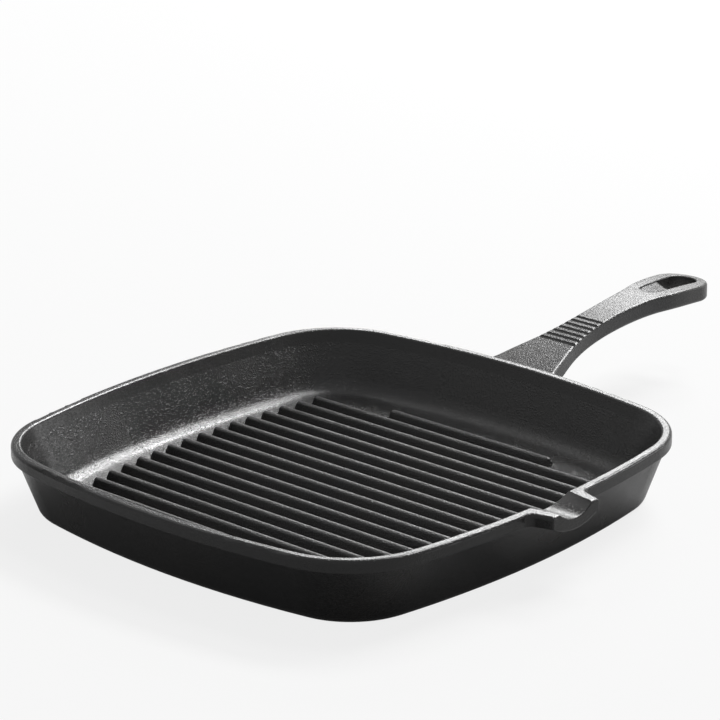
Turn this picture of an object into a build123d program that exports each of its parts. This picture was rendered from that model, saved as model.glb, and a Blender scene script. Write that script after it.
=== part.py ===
"""Square ridged grill pan: one iron casting, modelled as the regions that a foundry drawing names.

The origin is the middle of the base, on the surface that the pan stands on. +Z is up, +X runs out along the
handle, and the pouring spout is on the -Y side. Lengths are in millimetres and angles in degrees.
"""
import os
from math import atan2, degrees, radians, sin, sqrt, tan

from build123d import *

# Outline of the pan, a square of bowed sides and round corners
pan_side = 260.0
pan_height = 35.0
side_bow = 18.0
corner_radius = 49.4

# Rim, wall and floor
rim_width = 4.6
rim_height = 5.8
rim_round = 1.7
rim_inner_round = 1.4
rim_step = 2.2
wall_draft = 19.8
hollow_draft = 24.0
floor_thickness = 5.6
floor_fillet = 11.5
floor_seam = 1.0
base_round = 5.7

# Grill ridges, which run along Y
ridge_count = 18
ridge_side_margin = 39.3
ridge_width = 5.6
ridge_height = 3.8
ridge_draft = 20.0
ridge_crest_flat = 0.3
ridge_end_margin = 28.5
short_ridge_length = 104.0

# Pouring spout
spout_front_width = 32.0
spout_root_width = 40.8
spout_reach = 11.0
spout_flare = 4.5
spout_corner_round = 0.8
spout_floor_height = 24.6
spout_under_round = 1.5
spout_zone_width = 54.0
trough_lip_width = 22.4
trough_lip_depth = 4.4
trough_mouth_width = 31.0
trough_mouth_depth = 5.0
trough_throat_width = 24.0
trough_throat_depth = 4.6
trough_throat_reach = 3.0
trough_round = 0.6

# Handle, seen from above and from the side; a setback is measured back from the handle's end
handle_length = 140.3
handle_root_width = 48.0
handle_neck_width = 18.0
handle_neck_setback = 78.3
handle_end_width = 29.6
handle_root_height = 32.7
handle_crest_height = 48.1
handle_crest_setback = 36.3
handle_tip_height = 45.6
handle_thickness = 9.0
handle_root_thickness = 10.5
handle_top_round = 1.6
handle_under_round = 2.2
root_length = 24.0
loop_length = 46.3

# Grooves across the grip
groove_count = 7
groove_pitch = 4.23
groove_first_run = 32.4
groove_radius = 1.3
groove_depth = 0.8

# Hang slot
slot_width = 15.6
slot_near_width = 12.6
slot_near_setback = 42.9
slot_end_wall = 5.0
slot_through_setback = 21.3
slot_lip_depth = 1.2
slot_ramp_setback = 30.3
slot_ramp_depth = 4.2
slot_round = 0.7

overrun = 10.0

# Values worked out from the sizes above
half_side = pan_side / 2
side_radius = (half_side**2 + side_bow**2) / (2 * side_bow)
side_centre = side_radius - half_side
corner_centre = (sqrt(2 * (side_radius - corner_radius)**2 - side_centre**2) - side_centre) / 2
side_angle = degrees(atan2(corner_centre, corner_centre + side_centre))
wall_top = pan_height - rim_height
handle_reach = half_side + handle_length
wall_reach = (pan_height - floor_thickness) * tan(radians(hollow_draft))
fillet_reach = floor_fillet * tan(radians((90 - hollow_draft) / 2))
floor_inset = rim_width + wall_reach + fillet_reach + floor_seam
ridge_pitch = 2 * (half_side - ridge_side_margin) / (ridge_count - 1)
ridge_lean = ridge_height * tan(radians(ridge_draft))
crest_half_flat = ridge_crest_flat / 2
crest_round = (ridge_width / 2 - ridge_lean - crest_half_flat) / tan(radians((90 - ridge_draft) / 2))


def outline(inset):
    """The pan seen from above, drawn this far inside the rim's outer edge."""
    with BuildSketch(mode=Mode.PRIVATE) as plan:
        with BuildLine():
            for turn in range(0, 360, 90):
                side = Vector(0, -side_centre).rotate(Axis.Z, turn)
                corner = Vector(corner_centre, corner_centre).rotate(Axis.Z, turn)
                CenterArc(side, side_radius - inset, 90 - side_angle + turn, 2 * side_angle)
                CenterArc(corner, corner_radius - inset, side_angle + turn, 90 - 2 * side_angle)
        make_face()
    return plan.sketch


def reach_across(x, inset):
    """How far the outline, drawn inset, reaches from the X axis at this place along it."""
    if abs(x) < corner_centre + (corner_radius - inset) * sin(radians(side_angle)):
        return sqrt((side_radius - inset)**2 - x**2) - side_centre
    return corner_centre + sqrt((corner_radius - inset)**2 - (abs(x) - corner_centre)**2)


def arc_section(width, depth, y):
    """A segment of a circle, hung from the rim's top, across the spout at this Y."""
    with BuildSketch(Plane.XZ.offset(-y), mode=Mode.PRIVATE) as section:
        with BuildLine():
            ThreePointArc((-width / 2, pan_height), (0, pan_height - depth), (width / 2, pan_height))
            Polyline(
                (width / 2, pan_height),
                (width / 2, pan_height + overrun),
                (-width / 2, pan_height + overrun),
                (-width / 2, pan_height),
            )
        make_face()
    return section.sketch


# What lies inside the outer faces of the wall and the base
with BuildPart() as shell_block:
    with BuildSketch(Plane.XY.offset(wall_top)):
        add(outline(rim_step))
    extrude(amount=-wall_top, taper=wall_draft)
    fillet(shell_block.faces().sort_by(Axis.Z)[0].edges(), base_round)

# The hollow that food goes in, with the wide fillet round its floor
with BuildPart() as hollow:
    with BuildSketch(Plane.XY.offset(pan_height)):
        add(outline(rim_width))
    extrude(amount=floor_thickness - pan_height, taper=hollow_draft)
    fillet(hollow.faces().sort_by(Axis.Z)[0].edges(), floor_fillet)

with BuildPart() as pan_wall:
    add(shell_block.part)
    add(hollow.part, mode=Mode.SUBTRACT)
    with BuildSketch():
        add(outline(floor_inset))
    extrude(amount=pan_height, mode=Mode.SUBTRACT)

with BuildPart() as pan_floor:
    with BuildSketch():
        add(outline(floor_inset))
    extrude(amount=floor_thickness)

# The rim all round, with the spout standing out of it
spout_front = -half_side - spout_reach
spout_drop = wall_top - spout_floor_height
spout_under_radius = ((spout_front_width / 2)**2 + spout_drop**2) / (2 * spout_drop)
with BuildPart() as trough:
    add(arc_section(trough_lip_width, trough_lip_depth, spout_front - overrun))
    add(arc_section(trough_lip_width, trough_lip_depth, spout_front))
    add(arc_section(trough_throat_width, trough_throat_depth, -half_side - trough_throat_reach))
    add(arc_section(trough_mouth_width, trough_mouth_depth, -half_side + 2 * rim_width))
    loft()

with BuildPart() as spout_belly:
    with Locations(Location((0, spout_front, spout_floor_height + spout_under_radius), (-90, 0, 0))):
        Cylinder(spout_under_radius, half_side, align=(Align.CENTER, Align.CENTER, Align.MIN))
    fillet(spout_belly.faces().sort_by(Axis.Y)[0].edges(), spout_under_round)

with BuildPart() as under_rim:
    Box(2 * pan_side, 2 * pan_side, wall_top, align=(Align.CENTER, Align.CENTER, Align.MIN))
    add(spout_belly.part, mode=Mode.SUBTRACT)

with BuildPart() as rim_form:
    with BuildSketch(Plane.XY.offset(pan_height)) as rim_plan:
        add(outline(0))
        with BuildLine():
            Polyline(
                (-spout_front_width / 2, spout_front),
                (spout_front_width / 2, spout_front),
                (spout_root_width / 2, rim_width - half_side),
                (-spout_root_width / 2, rim_width - half_side),
                close=True,
            )
        make_face()
        fillet(rim_plan.vertices().sort_by(Axis.Y)[2:4], spout_flare)
        fillet(rim_plan.vertices().sort_by(Axis.Y)[0:2], spout_corner_round)
    extrude(amount=spout_floor_height - pan_height)
    for cut in (hollow, shell_block, under_rim):
        add(cut.part, mode=Mode.SUBTRACT)
    fillet(rim_form.faces().sort_by(Axis.Z)[-1].outer_wire().edges(), rim_round)
    fillet(rim_form.faces().sort_by(Axis.Z)[-1].inner_wires()[0].edges(), rim_inner_round)
    add(trough.part, mode=Mode.SUBTRACT)
    channel = rim_form.faces().filter_by(GeomType.BSPLINE).sort_by(SortBy.AREA)[-1]
    fillet(channel.edges(), trough_round)

with BuildPart() as spout_zone:
    with Locations((0, -half_side, 0)):
        Box(spout_zone_width, half_side, 2 * pan_height)

with BuildPart() as pan_rim:
    add(rim_form.part)
    add(spout_zone.part, mode=Mode.SUBTRACT)

with BuildPart() as pour_spout:
    add(rim_form.part)
    add(spout_zone.part, mode=Mode.INTERSECT)

# The handle's side view, and then its view from above
handle_start = half_side - rim_width
handle_run = handle_reach - handle_crest_setback - handle_start
rise_shares = ((0.0, 0.0), (0.23, 0.385), (0.61, 0.85), (1.0, 1.0))
crown = [
    (handle_start + run * handle_run, handle_root_height + rise * (handle_crest_height - handle_root_height))
    for run, rise in rise_shares
] + [(handle_reach, handle_tip_height)]
belly = [(x, z - handle_thickness) for x, z in crown[1:]]
belly.insert(0, (handle_start, handle_root_height - handle_root_thickness))
neck_reach = handle_reach - handle_neck_setback
flare_run = neck_reach - handle_start
end_centre = handle_reach - handle_end_width / 2
flare_shares = ((0.0, 1.0), (0.25, 0.5), (0.45, 0.24), (1.0, 0.0))
swell_shares = ((0.5, 0.42),)
side_points = [
    (handle_start + run * flare_run, (handle_neck_width + gain * (handle_root_width - handle_neck_width)) / 2)
    for run, gain in flare_shares
] + [
    (neck_reach + run * (end_centre - neck_reach),
     (handle_neck_width + gain * (handle_end_width - handle_neck_width)) / 2)
    for run, gain in swell_shares
] + [(end_centre, handle_end_width / 2)]

with BuildPart() as handle_form:
    with BuildSketch(Plane.XZ.offset(-handle_root_width)):
        with BuildLine():
            crown_line = Spline(*crown)
            Line(crown[-1], belly[-1])
            Spline(*belly)
            Line(belly[0], crown[0])
        make_face()
    extrude(amount=2 * handle_root_width)
    with BuildSketch():
        with BuildLine():
            Spline(*side_points, tangents=((1, -1), (1, 0)))
            ThreePointArc(
                (end_centre, handle_end_width / 2), (handle_reach, 0), (end_centre, -handle_end_width / 2)
            )
            Spline(*[(x, -y) for x, y in side_points], tangents=((1, 1), (1, 0)))
            Line((side_points[0][0], -side_points[0][1]), side_points[0])
        make_face()
    extrude(amount=2 * handle_crest_height, mode=Mode.INTERSECT)
    for side, size in ((0, handle_under_round), (-1, handle_top_round)):
        skin = handle_form.faces().sort_by(SortBy.AREA)[-2:].sort_by(Axis.Z)[side]
        fillet(skin.edges().filter_by(GeomType.BSPLINE), size)

# The hang slot goes right through near the handle's end, from a ramp that sinks into its top
slot_near = handle_reach - slot_near_setback
slot_through = handle_reach - slot_through_setback
with BuildPart() as slot_cut:
    with BuildSketch():
        with Locations((slot_near + slot_near_width / 2, 0)):
            Circle(slot_near_width / 2)
        with Locations((handle_reach - slot_end_wall - slot_width / 2, 0)):
            Circle(slot_width / 2)
        make_hull()
    extrude(amount=handle_crest_height + overrun)
    with BuildSketch(Plane.XZ.offset(-slot_width)):
        with BuildLine():
            ramp = Spline(
                (slot_near, handle_crest_height - slot_lip_depth),
                (handle_reach - slot_ramp_setback, handle_crest_height - slot_ramp_depth),
                (slot_through, handle_crest_height - handle_thickness - slot_lip_depth),
            )
            Polyline(
                ramp @ 1,
                (slot_through, 0),
                (handle_reach, 0),
                (handle_reach, handle_crest_height + overrun),
                (slot_near, handle_crest_height + overrun),
                ramp @ 0,
            )
        make_face()
    extrude(amount=2 * slot_width, mode=Mode.INTERSECT)

with BuildPart() as grooves:
    for n in range(groove_count):
        seat = crown_line.location_at(groove_first_run + n * groove_pitch, position_mode=PositionMode.LENGTH)
        axis_height = seat.position.Y + groove_radius - groove_depth
        with Locations(Location((seat.position.X, 0, axis_height), (90, 0, 0))):
            Cylinder(groove_radius, 2 * handle_root_width)

with BuildPart() as handle:
    add(handle_form.part)
    add(slot_cut.part, mode=Mode.SUBTRACT)
    skin = handle.faces().sort_by(SortBy.AREA)[-2:].sort_by(Axis.Z)[-1]
    fillet(skin.inner_wires()[0].edges(), slot_round)
    for cut in (grooves, rim_form, shell_block):
        add(cut.part, mode=Mode.SUBTRACT)


def handle_stretch(start, end):
    """The stretch of the handle between these two distances from the middle of the pan."""
    middle = (Align.MIN, Align.CENTER, Align.MIN)
    with BuildPart(mode=Mode.PRIVATE) as stretch:
        with Locations((start, 0, 0)):
            Box(end - start, 2 * handle_root_width, 2 * handle_crest_height, align=middle)
        add(handle.part, mode=Mode.INTERSECT)
    return stretch.part


grip_start = half_side + root_length
grip_end = handle_reach - loop_length
with BuildPart() as handle_root:
    add(handle_stretch(0, grip_start))

with BuildPart() as handle_grip:
    add(handle_stretch(grip_start, grip_end))

with BuildPart() as handle_loop:
    add(handle_stretch(grip_end, handle_reach + overrun))

pieces = {
    "pan_floor": pan_floor,
    "pan_wall": pan_wall,
    "pan_rim": pan_rim,
    "pour_spout": pour_spout,
    "handle_root": handle_root,
    "handle_grip": handle_grip,
    "handle_loop": handle_loop,
}

# The grill ridges, round-ended and drafted, as long as the flat of the floor lets them be
for n in range(ridge_count):
    place = (n - (ridge_count - 1) / 2) * ridge_pitch
    length = short_ridge_length
    if 0 < n < ridge_count - 1:
        length = 2 * reach_across(place, ridge_end_margin)
    with BuildPart() as ridge:
        with BuildSketch(Plane.XY.offset(floor_thickness)):
            with Locations((place, 0)):
                SlotOverall(length, ridge_width, rotation=90)
        extrude(amount=ridge_height, taper=ridge_draft)
        fillet(ridge.faces().sort_by(Axis.Z)[-1].edges(), crest_round)
    pieces[f"grill_ridge_{n + 1:02d}"] = ridge

os.makedirs("parts", exist_ok=True)
for name, piece in pieces.items():
    piece.part.label = name
    export_step(piece.part, f"parts/{name}.step")
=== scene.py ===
"""Looks, light and camera for a square cast-iron grill pan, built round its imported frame."""
import math

import bpy
from mathutils import Matrix, Vector


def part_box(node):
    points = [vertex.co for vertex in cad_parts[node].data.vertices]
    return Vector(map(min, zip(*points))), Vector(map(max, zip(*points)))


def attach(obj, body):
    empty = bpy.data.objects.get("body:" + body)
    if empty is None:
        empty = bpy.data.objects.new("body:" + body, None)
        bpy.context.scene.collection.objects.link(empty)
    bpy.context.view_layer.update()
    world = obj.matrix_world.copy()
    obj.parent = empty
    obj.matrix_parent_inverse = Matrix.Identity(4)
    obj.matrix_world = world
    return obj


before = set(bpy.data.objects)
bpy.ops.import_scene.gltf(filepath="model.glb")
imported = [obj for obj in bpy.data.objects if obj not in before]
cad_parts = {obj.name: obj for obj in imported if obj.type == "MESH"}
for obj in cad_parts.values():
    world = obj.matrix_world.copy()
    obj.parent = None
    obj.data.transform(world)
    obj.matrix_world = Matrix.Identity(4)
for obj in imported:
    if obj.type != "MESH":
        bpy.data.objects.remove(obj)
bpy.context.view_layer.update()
scene = bpy.context.scene
scene.view_settings.view_transform = "Standard"

MM = 0.001
WHITE = (1.0, 1.0, 1.0, 1.0)

# Camera, in metres and degrees: heading is counted from +X, drop is below the horizon
CAMERA_PLACE = (-1.11654, -1.04315, 0.61097)
CAMERA_HEADING = 42.730
CAMERA_DROP = 19.454
CAMERA_ROLL = -0.525
CAMERA_LENS = 174.96
CAMERA_REACH = 100.0
SENSOR_WIDTH = 36.0

# Studio lamps: name, heading from +X and height in degrees, distance, size in metres, power in watts
LAMP_TARGET = (0.0, 0.0, 0.02)
LAMPS = (
    ("key", 8.0, 43.0, 2.6, (1.60, 0.50), 82.0),
    ("high", -2.0, 61.0, 2.6, (0.90, 0.70), 22.0),
    ("shoulder", 85.0, 45.0, 2.6, (1.40, 0.90), 3.0),
    ("back", 35.0, 24.0, 2.8, (0.90, 0.60), 20.0),
    ("side", -25.0, 12.0, 2.6, (0.90, 0.70), 5.0),
)

# White surroundings, and the share of them that the iron mirrors
WORLD_LIGHT = 0.11
WORLD_MIRRORED = 0.55
FLOOR_COLOUR = (0.52, 0.52, 0.52, 1.0)
FLOOR_SIZE = 12.0
FLOOR_GLOW = 0.83
FLOOR_MIRRORED = 0.09

# The iron's skin, in millimetres: round pebbles, a few sharp grains, slow swells, and clouds of colour
PEBBLE_SIZE = 1.2
PEBBLE_DETAIL = 1.0
GRAIN_SIZE = 0.7
GRAIN_DETAIL = 0.0
GRAIN_RANGE = (0.47, 0.70)
SWELL_SIZE = 14.0
SWELL_DETAIL = 1.0
SWELL_HEIGHT = 0.2
CLOUD_SIZE = 40.0
CLOUD_DETAIL = 3.0

# How the clouds change colour and gloss
CLOUD_COLOUR_RANGE = (0.35, 0.70)
CLOUD_GLOSS_RANGE = (0.3, 0.7)
GLOSS_SPREAD = 0.04
DARK_TINT = (1.0, 1.0, 1.04)
LIGHT_TINT = (1.04, 1.0, 0.95)

# Chosen as the photograph looks: faces that look down and level tops mirror less
# These lower specular levels are painted shade: they darken downward faces and level tops.
IRON_INDEX = 1.5
DOWNWARD_SHADE_RANGE = (-0.2, 0.1)
LEVEL_TOP_SHADE_RANGE = (0.90, 0.97)

# The shallow scoop before the hang slot, in millimetres; setbacks are counted from the handle's tip
SCOOP_SETBACK = 42.9
SCOOP_END_SETBACK = 20.3
SCOOP_RADIUS = 6.3
SCOOP_WIDENING = 0.063
SCOOP_OVERLAP = 0.3
SCOOP_EDGE_DEPTH = 0.8
SCOOP_DEPTH = 2.6
SCOOP_SLOPE_SHARE = 0.8
SCOOP_SLOPE_POWER = 0.7
SCOOP_LIP = 4.4
SCOOP_FOOT_DEPTH = 8.4
SCOOP_LEVEL_ASIDE = 9.0
SCOOP_ROUND_STEPS = 12
SCOOP_RUN_STEPS = 32
SCOOP_ACROSS_STEPS = 24
SCOOP_PROBE_HEIGHT = 1000.0
SCOOP_SHARP_ANGLE = 50.0


def make_camera():
    """The photograph's view, a little rolled."""
    heading = math.radians(CAMERA_HEADING)
    drop = math.radians(CAMERA_DROP)
    roll = math.radians(CAMERA_ROLL)
    forward = Vector(
        (math.cos(heading) * math.cos(drop), math.sin(heading) * math.cos(drop), -math.sin(drop))
    )
    level = forward.cross(Vector((0, 0, 1))).normalized()
    above = level.cross(forward)
    right = level * math.cos(roll) + above * math.sin(roll)
    up = above * math.cos(roll) - level * math.sin(roll)
    turn = Matrix((right, up, -forward)).transposed()
    data = bpy.data.cameras.new("camera")
    data.lens = CAMERA_LENS
    data.sensor_width = SENSOR_WIDTH
    data.clip_end = CAMERA_REACH
    camera = bpy.data.objects.new("camera", data)
    camera.matrix_world = Matrix.Translation(CAMERA_PLACE) @ turn.to_4x4()
    scene.collection.objects.link(camera)
    scene.camera = camera


def make_lamp(name, heading, height, distance, size, power):
    """A rectangular soft box that faces the pan."""
    heading = math.radians(heading)
    height = math.radians(height)
    level = distance * math.cos(height)
    place = Vector((level * math.cos(heading), level * math.sin(heading), distance * math.sin(height)))
    data = bpy.data.lights.new(name, "AREA")
    data.shape = "RECTANGLE"
    data.size, data.size_y = size
    data.energy = power
    lamp = bpy.data.objects.new(name, data)
    lamp.location = place
    lamp.rotation_mode = "QUATERNION"
    lamp.rotation_quaternion = (place - Vector(LAMP_TARGET)).to_track_quat("Z", "Y")
    scene.collection.objects.link(lamp)


def node(tree, kind, **values):
    """A new shader node with these settings."""
    made = tree.nodes.new(kind)
    for key, value in values.items():
        setattr(made, key, value)
    return made


def put(made, **values):
    """Sets a node's inputs, with underscores for the spaces in their names."""
    for key, value in values.items():
        made.inputs[key.replace("_", " ")].default_value = value
    return made


def map_range(tree, value, come, to, **values):
    """The output of a node that carries this value from one range to another."""
    made = node(tree, "ShaderNodeMapRange", **values)
    put(made, From_Min=come[0], From_Max=come[1], To_Min=to[0], To_Max=to[1])
    tree.links.new(value, made.inputs["Value"])
    return made.outputs[0]


def seen_directly(tree, mirrored):
    """One for camera and transmission rays, and this much for the rays that the iron mirrors."""
    rays = node(tree, "ShaderNodeLightPath")
    mirror = node(tree, "ShaderNodeMath", operation="MULTIPLY")
    mirror.inputs[1].default_value = mirrored
    through = node(tree, "ShaderNodeMath", operation="MAXIMUM")
    seen = node(tree, "ShaderNodeMath", operation="MAXIMUM")
    tree.links.new(rays.outputs["Is Glossy Ray"], mirror.inputs[0])
    tree.links.new(mirror.outputs[0], through.inputs[0])
    tree.links.new(rays.outputs["Is Transmission Ray"], through.inputs[1])
    tree.links.new(through.outputs[0], seen.inputs[0])
    tree.links.new(rays.outputs["Is Camera Ray"], seen.inputs[1])
    return seen.outputs[0]


def mix_shaders(tree, share, plain, shown, out):
    """Blends two shaders into the output by a share that a node gives."""
    mix = node(tree, "ShaderNodeMixShader")
    tree.links.new(share, mix.inputs[0])
    tree.links.new(plain.outputs[0], mix.inputs[1])
    tree.links.new(shown.outputs[0], mix.inputs[2])
    tree.links.new(mix.outputs[0], out.inputs[0])


def make_world():
    """A white surround that lights the pan only a little."""
    world = bpy.data.worlds.new("studio")
    world.use_nodes = True
    tree = world.node_tree
    tree.nodes.clear()
    lit = put(node(tree, "ShaderNodeBackground"), Color=WHITE, Strength=WORLD_LIGHT)
    shown = put(node(tree, "ShaderNodeBackground"), Color=WHITE, Strength=1.0)
    out = node(tree, "ShaderNodeOutputWorld")
    mix_shaders(tree, seen_directly(tree, WORLD_MIRRORED), lit, shown, out)
    scene.world = world


def make_floor():
    """A pale floor that is nearly white to the camera and keeps the pan's shadow."""
    half = FLOOR_SIZE / 2
    corners = [(-half, -half, 0), (half, -half, 0), (half, half, 0), (-half, half, 0)]
    mesh = bpy.data.meshes.new("floor")
    mesh.from_pydata(corners, [], [(0, 1, 2, 3)])
    floor = bpy.data.objects.new("floor", mesh)
    scene.collection.objects.link(floor)
    material = bpy.data.materials.new("floor")
    material.use_nodes = True
    tree = material.node_tree
    tree.nodes.clear()
    share = node(tree, "ShaderNodeMath", operation="MULTIPLY")
    share.inputs[1].default_value = FLOOR_GLOW
    tree.links.new(seen_directly(tree, FLOOR_MIRRORED), share.inputs[0])
    paper = put(node(tree, "ShaderNodeBsdfDiffuse"), Color=FLOOR_COLOUR)
    glow = put(node(tree, "ShaderNodeEmission"), Color=WHITE, Strength=1.0)
    out = node(tree, "ShaderNodeOutputMaterial")
    mix_shaders(tree, share.outputs[0], paper, glow, out)
    mesh.materials.append(material)


def noise(tree, place, size, detail):
    """Noise whose features are about this many millimetres across."""
    made = put(node(tree, "ShaderNodeTexNoise"), Scale=1 / (size * MM), Detail=detail)
    tree.links.new(place, made.inputs["Vector"])
    return made.outputs["Fac"]


def roughen(tree, skin, place, pebble, spark):
    """Grains, pebbles and swells, one on another, each with its height in millimetres."""
    grains = noise(tree, place, GRAIN_SIZE, GRAIN_DETAIL)
    sharp = map_range(tree, grains, GRAIN_RANGE, (0.0, 1.0), interpolation_type="SMOOTHSTEP")
    pebbles = noise(tree, place, PEBBLE_SIZE, PEBBLE_DETAIL)
    swells = noise(tree, place, SWELL_SIZE, SWELL_DETAIL)
    normal = None
    for height, size in ((sharp, spark), (pebbles, pebble), (swells, SWELL_HEIGHT)):
        bump = put(node(tree, "ShaderNodeBump"), Strength=1.0, Distance=size * MM)
        tree.links.new(height, bump.inputs["Height"])
        if normal:
            tree.links.new(normal.outputs[0], bump.inputs["Normal"])
        normal = bump
    tree.links.new(normal.outputs[0], skin.inputs["Normal"])


def cloud(tree, skin, place, roughness, dark, light):
    """Slow changes of colour and gloss, as seasoning leaves them."""
    clouds = noise(tree, place, CLOUD_SIZE, CLOUD_DETAIL)
    shade = node(tree, "ShaderNodeValToRGB")
    ends = zip(shade.color_ramp.elements, CLOUD_COLOUR_RANGE, (dark, light), (DARK_TINT, LIGHT_TINT))
    for end, position, level, tint in ends:
        end.position = position
        end.color = (level * tint[0], level * tint[1], level * tint[2], 1.0)
    tree.links.new(clouds, shade.inputs[0])
    tree.links.new(shade.outputs[0], skin.inputs["Base Color"])
    spread = (roughness - GLOSS_SPREAD, roughness + GLOSS_SPREAD)
    tree.links.new(map_range(tree, clouds, CLOUD_GLOSS_RANGE, spread), skin.inputs["Roughness"])


def sheen_and_painted_shade(tree, skin, upward, downward_shaded_sheen, level):
    """The specular level of faces that look up, of those that look down, and of level tops; the lower
    levels on downward faces and level tops are painted shade.
    """
    facing = node(tree, "ShaderNodeNewGeometry")
    tilt = node(tree, "ShaderNodeSeparateXYZ")
    tree.links.new(facing.outputs["True Normal"], tilt.inputs[0])
    whole = node(tree, "ShaderNodeMath", operation="ADD")
    sides = map_range(tree, tilt.outputs["Z"], DOWNWARD_SHADE_RANGE, (downward_shaded_sheen, upward))
    tops = map_range(tree, tilt.outputs["Z"], LEVEL_TOP_SHADE_RANGE, (0.0, level - upward))
    tree.links.new(sides, whole.inputs[0])
    tree.links.new(tops, whole.inputs[1])
    tree.links.new(whole.outputs[0], skin.inputs["Specular IOR Level"])


# Lower specular levels for downward faces and level tops than for upward faces are painted shade.
def iron(name, pebble=0.07, spark=0.12, roughness=0.25, upward=0.5, downward_shaded_sheen=0.5, level=0.5,
         dark=0.012, light=0.018):
    """Seasoned cast iron, with the heights of its pebbles and of its few sharp grains in millimetres."""
    material = bpy.data.materials.new(name)
    material.use_nodes = True
    tree = material.node_tree
    tree.nodes.clear()
    out = node(tree, "ShaderNodeOutputMaterial")
    skin = put(node(tree, "ShaderNodeBsdfPrincipled"), IOR=IRON_INDEX)
    place = node(tree, "ShaderNodeTexCoord").outputs["Object"]
    roughen(tree, skin, place, pebble, spark)
    cloud(tree, skin, place, roughness, dark, light)
    sheen_and_painted_shade(tree, skin, upward, downward_shaded_sheen, level)
    tree.links.new(skin.outputs[0], out.inputs[0])
    return material


def scoop_stations(near, end):
    """Places along the scoop and its half width at each: a half round, then sides that widen a little."""
    centre = near + SCOOP_RADIUS
    radius = SCOOP_RADIUS + SCOOP_OVERLAP
    stations = []
    for step in range(1, SCOOP_ROUND_STEPS + 1):
        turn = step / SCOOP_ROUND_STEPS * math.pi / 2
        stations.append((centre - radius * math.cos(turn), radius * math.sin(turn)))
    for step in range(1, SCOOP_RUN_STEPS + 1):
        run = step / SCOOP_RUN_STEPS * (end - centre)
        stations.append((centre + run, radius + SCOOP_WIDENING * run))
    return stations


def scoop_points():
    """The scoop's floor, and the same points at its foot, in rows across the handle."""
    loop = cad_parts["handle_loop"]
    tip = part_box("handle_loop")[1][0] / MM
    near = tip - SCOOP_SETBACK
    end = tip - SCOOP_END_SETBACK
    tops = []
    feet = []
    for place, half in scoop_stations(near, end):
        start = (place * MM, SCOOP_LEVEL_ASIDE * MM, SCOOP_PROBE_HEIGHT * MM)
        _, spot, *_ = loop.ray_cast(start, (0, 0, -1))
        height = spot.z / MM
        share = min(1.0, (place - near) / (end - near) / SCOOP_SLOPE_SHARE)
        fall = SCOOP_DEPTH * max(0.0, share) ** SCOOP_SLOPE_POWER
        over = max(0.0, SCOOP_LIP - (end - place))
        lip = SCOOP_LIP - math.sqrt(SCOOP_LIP ** 2 - over ** 2)
        for step in range(SCOOP_ACROSS_STEPS + 1):
            across = 2 * step / SCOOP_ACROSS_STEPS - 1
            depth = SCOOP_EDGE_DEPTH + fall * (1 - across ** 2) + lip
            tops.append((place * MM, across * half * MM, (height - depth) * MM))
            feet.append((place * MM, across * half * MM, (height - SCOOP_FOOT_DEPTH) * MM))
    return tops, feet


def scoop_faces(under):
    """Faces round the scoop's points; the points of its foot are counted on from this number."""
    row = SCOOP_ACROSS_STEPS + 1
    faces = []
    for start in range(0, under - row, row):
        for a in range(start, start + SCOOP_ACROSS_STEPS):
            faces.append((a, a + row, a + row + 1, a + 1))
            faces.append((under + a, under + a + 1, under + a + row + 1, under + a + row))
        last = start + SCOOP_ACROSS_STEPS
        faces.append((start, under + start, under + start + row, start + row))
        faces.append((last, last + row, under + last + row, under + last))
    faces.append((*range(row), *range(under + row - 1, under - 1, -1)))
    faces.append((*range(under - 1, under - row - 1, -1), *range(2 * under - row, 2 * under)))
    return faces


def make_scoop(material):
    """The iron between the scoop's floor and the solid's steeper ramp, sunk into the slot's sides."""
    tops, feet = scoop_points()
    mesh = bpy.data.meshes.new("hang_slot_scoop")
    mesh.from_pydata(tops + feet, [], scoop_faces(len(tops)))
    mesh.shade_smooth()
    mesh.set_sharp_from_angle(angle=math.radians(SCOOP_SHARP_ANGLE))
    mesh.materials.append(material)
    scoop = bpy.data.objects.new("hang_slot_scoop", mesh)
    scene.collection.objects.link(scoop)
    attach(scoop, "root")


make_camera()
make_world()
make_floor()
for lamp in LAMPS:
    make_lamp(*lamp)

# One seasoned iron throughout; the dish's lower specular level on downward faces is painted shade.
dish_iron = iron("dish_iron", downward_shaded_sheen=0.39)
# The rim's darker colour, and its lower specular levels on downward faces and level tops, are painted
# shade.
rim_iron = iron("rim_iron", pebble=0.02, spark=0.05, roughness=0.22, upward=0.42, downward_shaded_sheen=0.28,
                level=0.24, dark=0.010, light=0.015)
# The ridges' paler colour is painted light, and their lower specular level on level tops is painted
# shade.
ridge_iron = iron("ridge_iron", spark=0.16, roughness=0.42, upward=0.47, level=0.38,
                  dark=0.018, light=0.026)
# The handle's paler colour is painted light, and its lower specular level on level tops is painted shade.
handle_iron = iron("handle_iron", pebble=0.04, spark=0.06, roughness=0.32, level=0.25,
                   dark=0.020, light=0.030)
for name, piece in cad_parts.items():
    material = dish_iron
    if name.startswith("grill_ridge"):
        material = ridge_iron
    elif name.startswith("handle"):
        material = handle_iron
    elif name in ("pan_rim", "pour_spout"):
        material = rim_iron
    for slot in piece.material_slots:
        slot.material = material
make_scoop(handle_iron)
